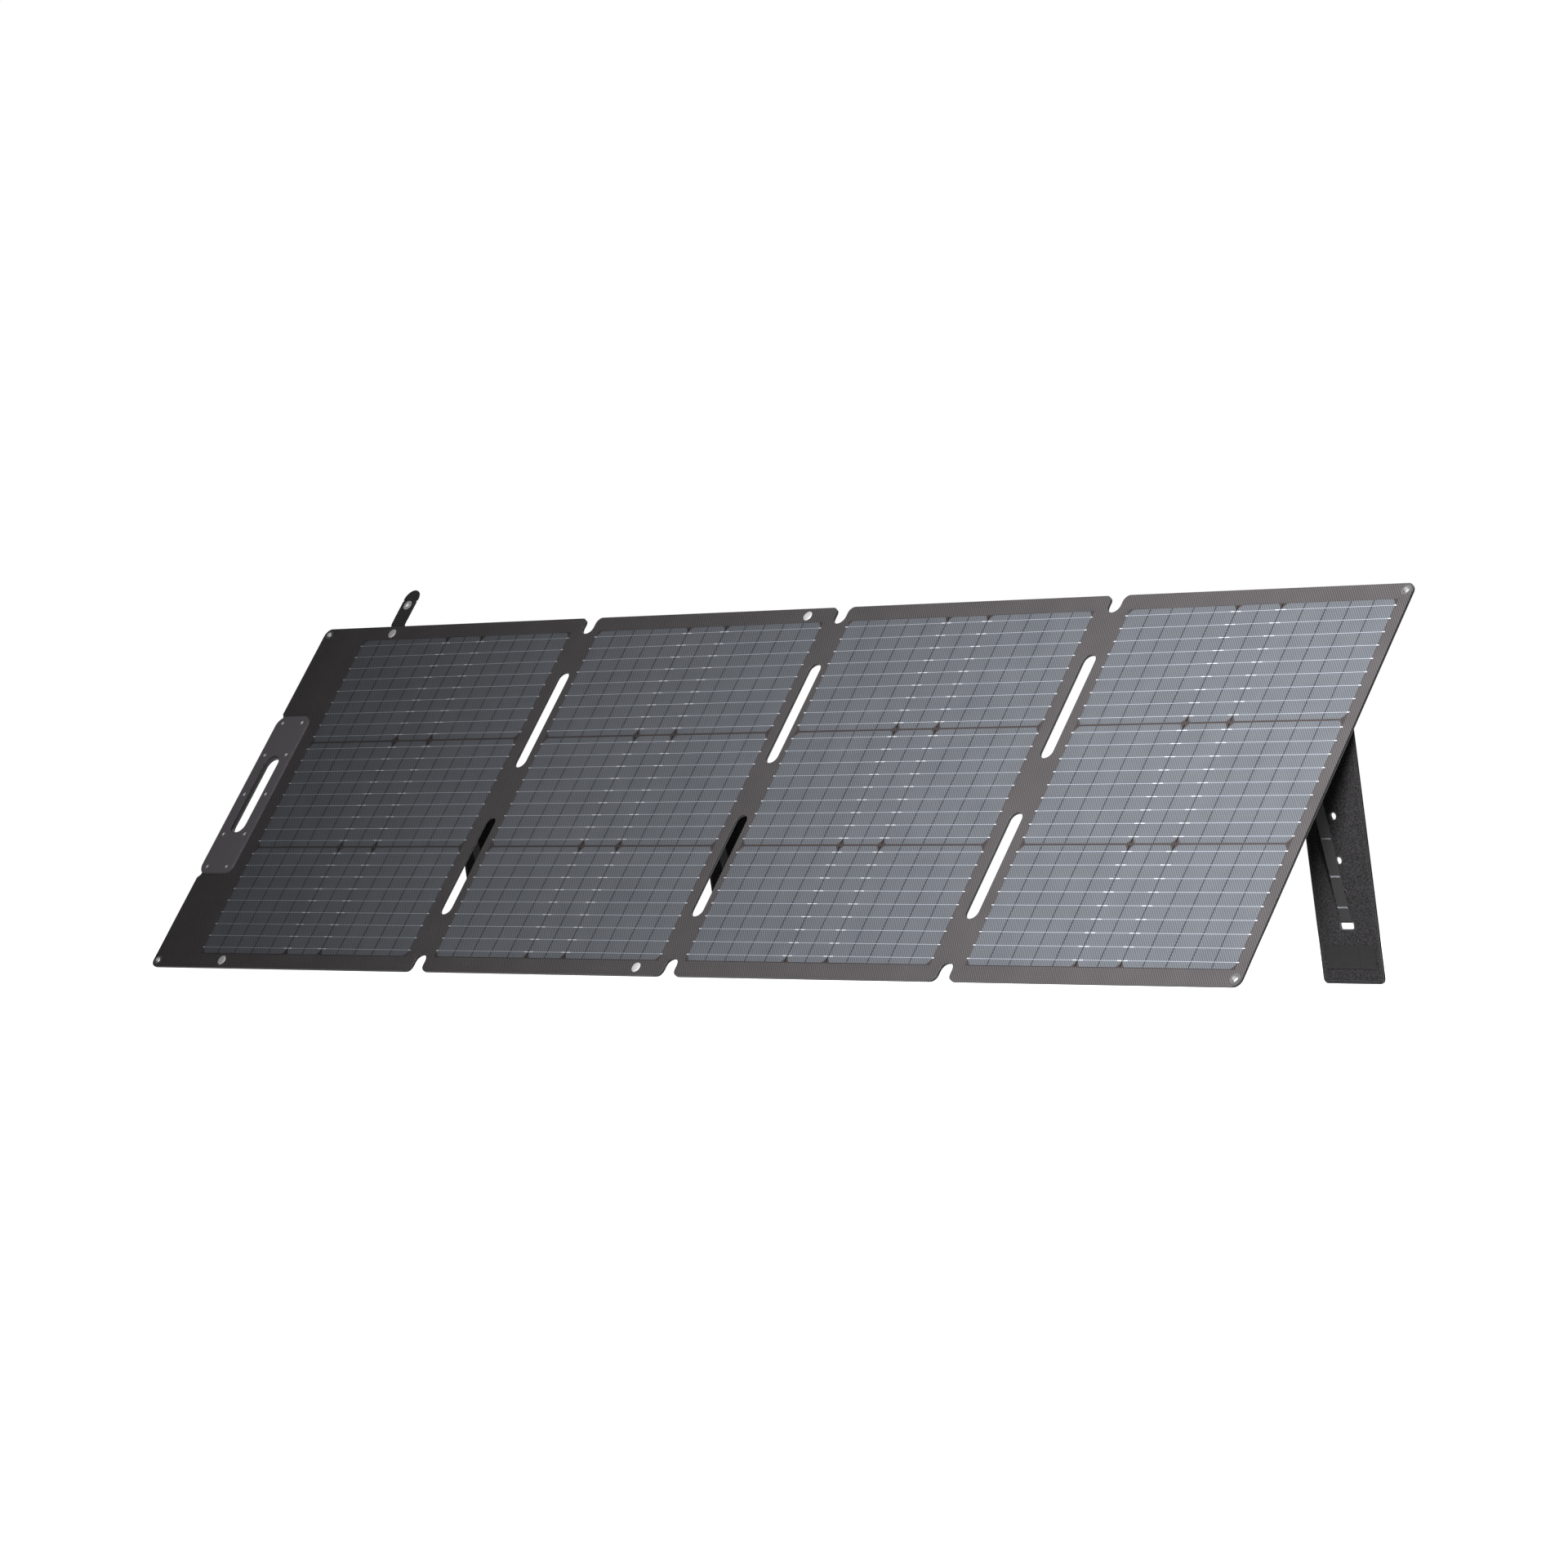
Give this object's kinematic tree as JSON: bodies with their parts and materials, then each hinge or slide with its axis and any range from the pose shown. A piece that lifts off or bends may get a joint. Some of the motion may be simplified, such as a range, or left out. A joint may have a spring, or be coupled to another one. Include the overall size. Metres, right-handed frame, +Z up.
{
  "type": "folding solar panel",
  "caption": "Portable folding solar panel: boards joined by fabric hinges, with rear kickstand legs, a carry handle and snap closure straps.",
  "frame": {"origin": "middle of the footprint, on the ground", "axes": "+X along the row of panels from the handle end, +Y behind the panels towards the legs, +Z up"},
  "size_m": [2.084, 0.3738, 0.5522],
  "materials": {
    "laminate": "textured film",
    "cells": "textured film over silicon",
    "felt": "brushed woven",
    "webbing": "ribbed webbing",
    "handle_plastic": "satin moulded",
    "black_plastic": "satin moulded",
    "nickel": "nickel plated"
  },
  "bodies": {
    "panel_2": {"panel_2_board": "laminate", "panel_2_cells": "cells", "panel_2_back": "felt", "hinge_web_12": "laminate", "hinge_web_23": "laminate", "snap_stud_top": "nickel", "snap_stud_bottom": "nickel", "leg_2_hinge_tape": "felt", "leg_2_tether": "webbing", "junction_box_tray": "black_plastic", "junction_box_lid": "black_plastic", "diode_board": "black_plastic", "cable_gland": "black_plastic", "cable_pouch": "felt", "pouch_zip": "webbing"},
    "panel_1": {"panel_1_board": "laminate", "panel_1_cells": "cells", "panel_1_back": "felt", "handle_front_plate": "handle_plastic", "handle_rear_plate": "handle_plastic", "handle_screw_1": "nickel", "handle_screw_2": "nickel", "handle_screw_3": "nickel", "handle_screw_4": "nickel", "handle_screw_5": "nickel", "handle_screw_6": "nickel", "handle_screw_7": "nickel", "handle_screw_8": "nickel", "handle_screw_9": "nickel", "handle_screw_10": "nickel", "corner_eyelet_left_top": "nickel", "corner_eyelet_left_bottom": "nickel", "strap_rivet_top": "nickel", "strap_rivet_bottom": "nickel", "leg_1_hinge_tape": "felt", "leg_1_tether": "webbing"},
    "panel_3": {"panel_3_board": "laminate", "panel_3_cells": "cells", "panel_3_back": "felt", "hinge_web_34": "laminate"},
    "panel_4": {"panel_4_board": "laminate", "panel_4_cells": "cells", "panel_4_back": "felt", "corner_eyelet_right_top": "nickel", "corner_eyelet_right_bottom": "nickel", "leg_4_hinge_tape": "felt", "leg_4_tether": "webbing"},
    "kickstand_1": {"leg_1": "felt", "leg_1_hook_patch": "webbing"},
    "kickstand_2": {"leg_2": "felt", "leg_2_hook_patch": "webbing"},
    "kickstand_4": {"leg_4": "felt", "leg_4_hook_patch": "webbing"},
    "strap_top_base": {"closure_strap_top_base": "webbing"},
    "strap_top_tip": {"closure_strap_top_tip": "webbing", "snap_socket_top": "nickel"},
    "strap_bottom_base": {"closure_strap_bottom_base": "webbing"},
    "strap_bottom_tip": {"closure_strap_bottom_tip": "webbing", "snap_socket_bottom": "nickel"},
    "zip_slider": {"pouch_zip_slider": "nickel"}
  },
  "joints": [
    {"name": "fold_12", "type": "hinge", "parent": "panel_2", "child": "panel_1", "pos_m": [-0.455, -0.02622, 0.25415], "axis": [0, 0.5592, 0.829], "range_deg": [0, 180], "deforming": ["hinge_web_12"]},
    {"name": "fold_23", "type": "hinge", "parent": "panel_2", "child": "panel_3", "pos_m": [0.042, -0.02382, 0.25253], "axis": [0, -0.5592, -0.829], "range_deg": [0, 180], "deforming": ["hinge_web_23"]},
    {"name": "fold_34", "type": "hinge", "parent": "panel_3", "child": "panel_4", "pos_m": [0.541, -0.02046, 0.25026], "axis": [0, -0.5592, -0.829], "range_deg": [0, 180], "deforming": ["hinge_web_34"]},
    {"name": "leg_1_hinge", "type": "hinge", "parent": "panel_1", "child": "kickstand_1", "pos_m": [-0.61, 0.04271, 0.33551], "axis": [-1, 0, 0], "range_deg": [0, 45], "deforming": ["leg_1_tether"]},
    {"name": "leg_2_hinge", "type": "hinge", "parent": "panel_2", "child": "kickstand_2", "pos_m": [-0.107, 0.04271, 0.33551], "axis": [-1, 0, 0], "range_deg": [0, 45], "deforming": ["leg_2_tether"]},
    {"name": "leg_4_hinge", "type": "hinge", "parent": "panel_4", "child": "kickstand_4", "pos_m": [0.974, 0.04271, 0.33551], "axis": [-1, 0, 0], "range_deg": [0, 45], "deforming": ["leg_4_tether"]},
    {"name": "strap_top_root", "type": "hinge", "parent": "panel_1", "child": "strap_top_base", "pos_m": [-0.8875, 0.14984, 0.49774], "axis": [1, 0, 0], "range_deg": [0, 90]},
    {"name": "strap_top_fold", "type": "hinge", "parent": "strap_top_base", "child": "strap_top_tip", "pos_m": [-0.8875, 0.16315, 0.51747], "axis": [1, 0, 0], "range_deg": [0, 90]},
    {"name": "strap_bottom_root", "type": "hinge", "parent": "panel_1", "child": "strap_bottom_base", "pos_m": [-0.8875, -0.1847, -0.00022], "axis": [-1, 0, 0], "range_deg": [0, 214]},
    {"name": "strap_bottom_fold", "type": "hinge", "parent": "strap_bottom_base", "child": "strap_bottom_tip", "pos_m": [-0.8875, -0.1598, 0.00188], "axis": [-1, 0, 0], "range_deg": [0, 90]},
    {"name": "zip_slide", "type": "slide", "parent": "panel_2", "child": "zip_slider", "axis": [1, 0, 0], "range_m": [0, 0.165]}
  ]
}
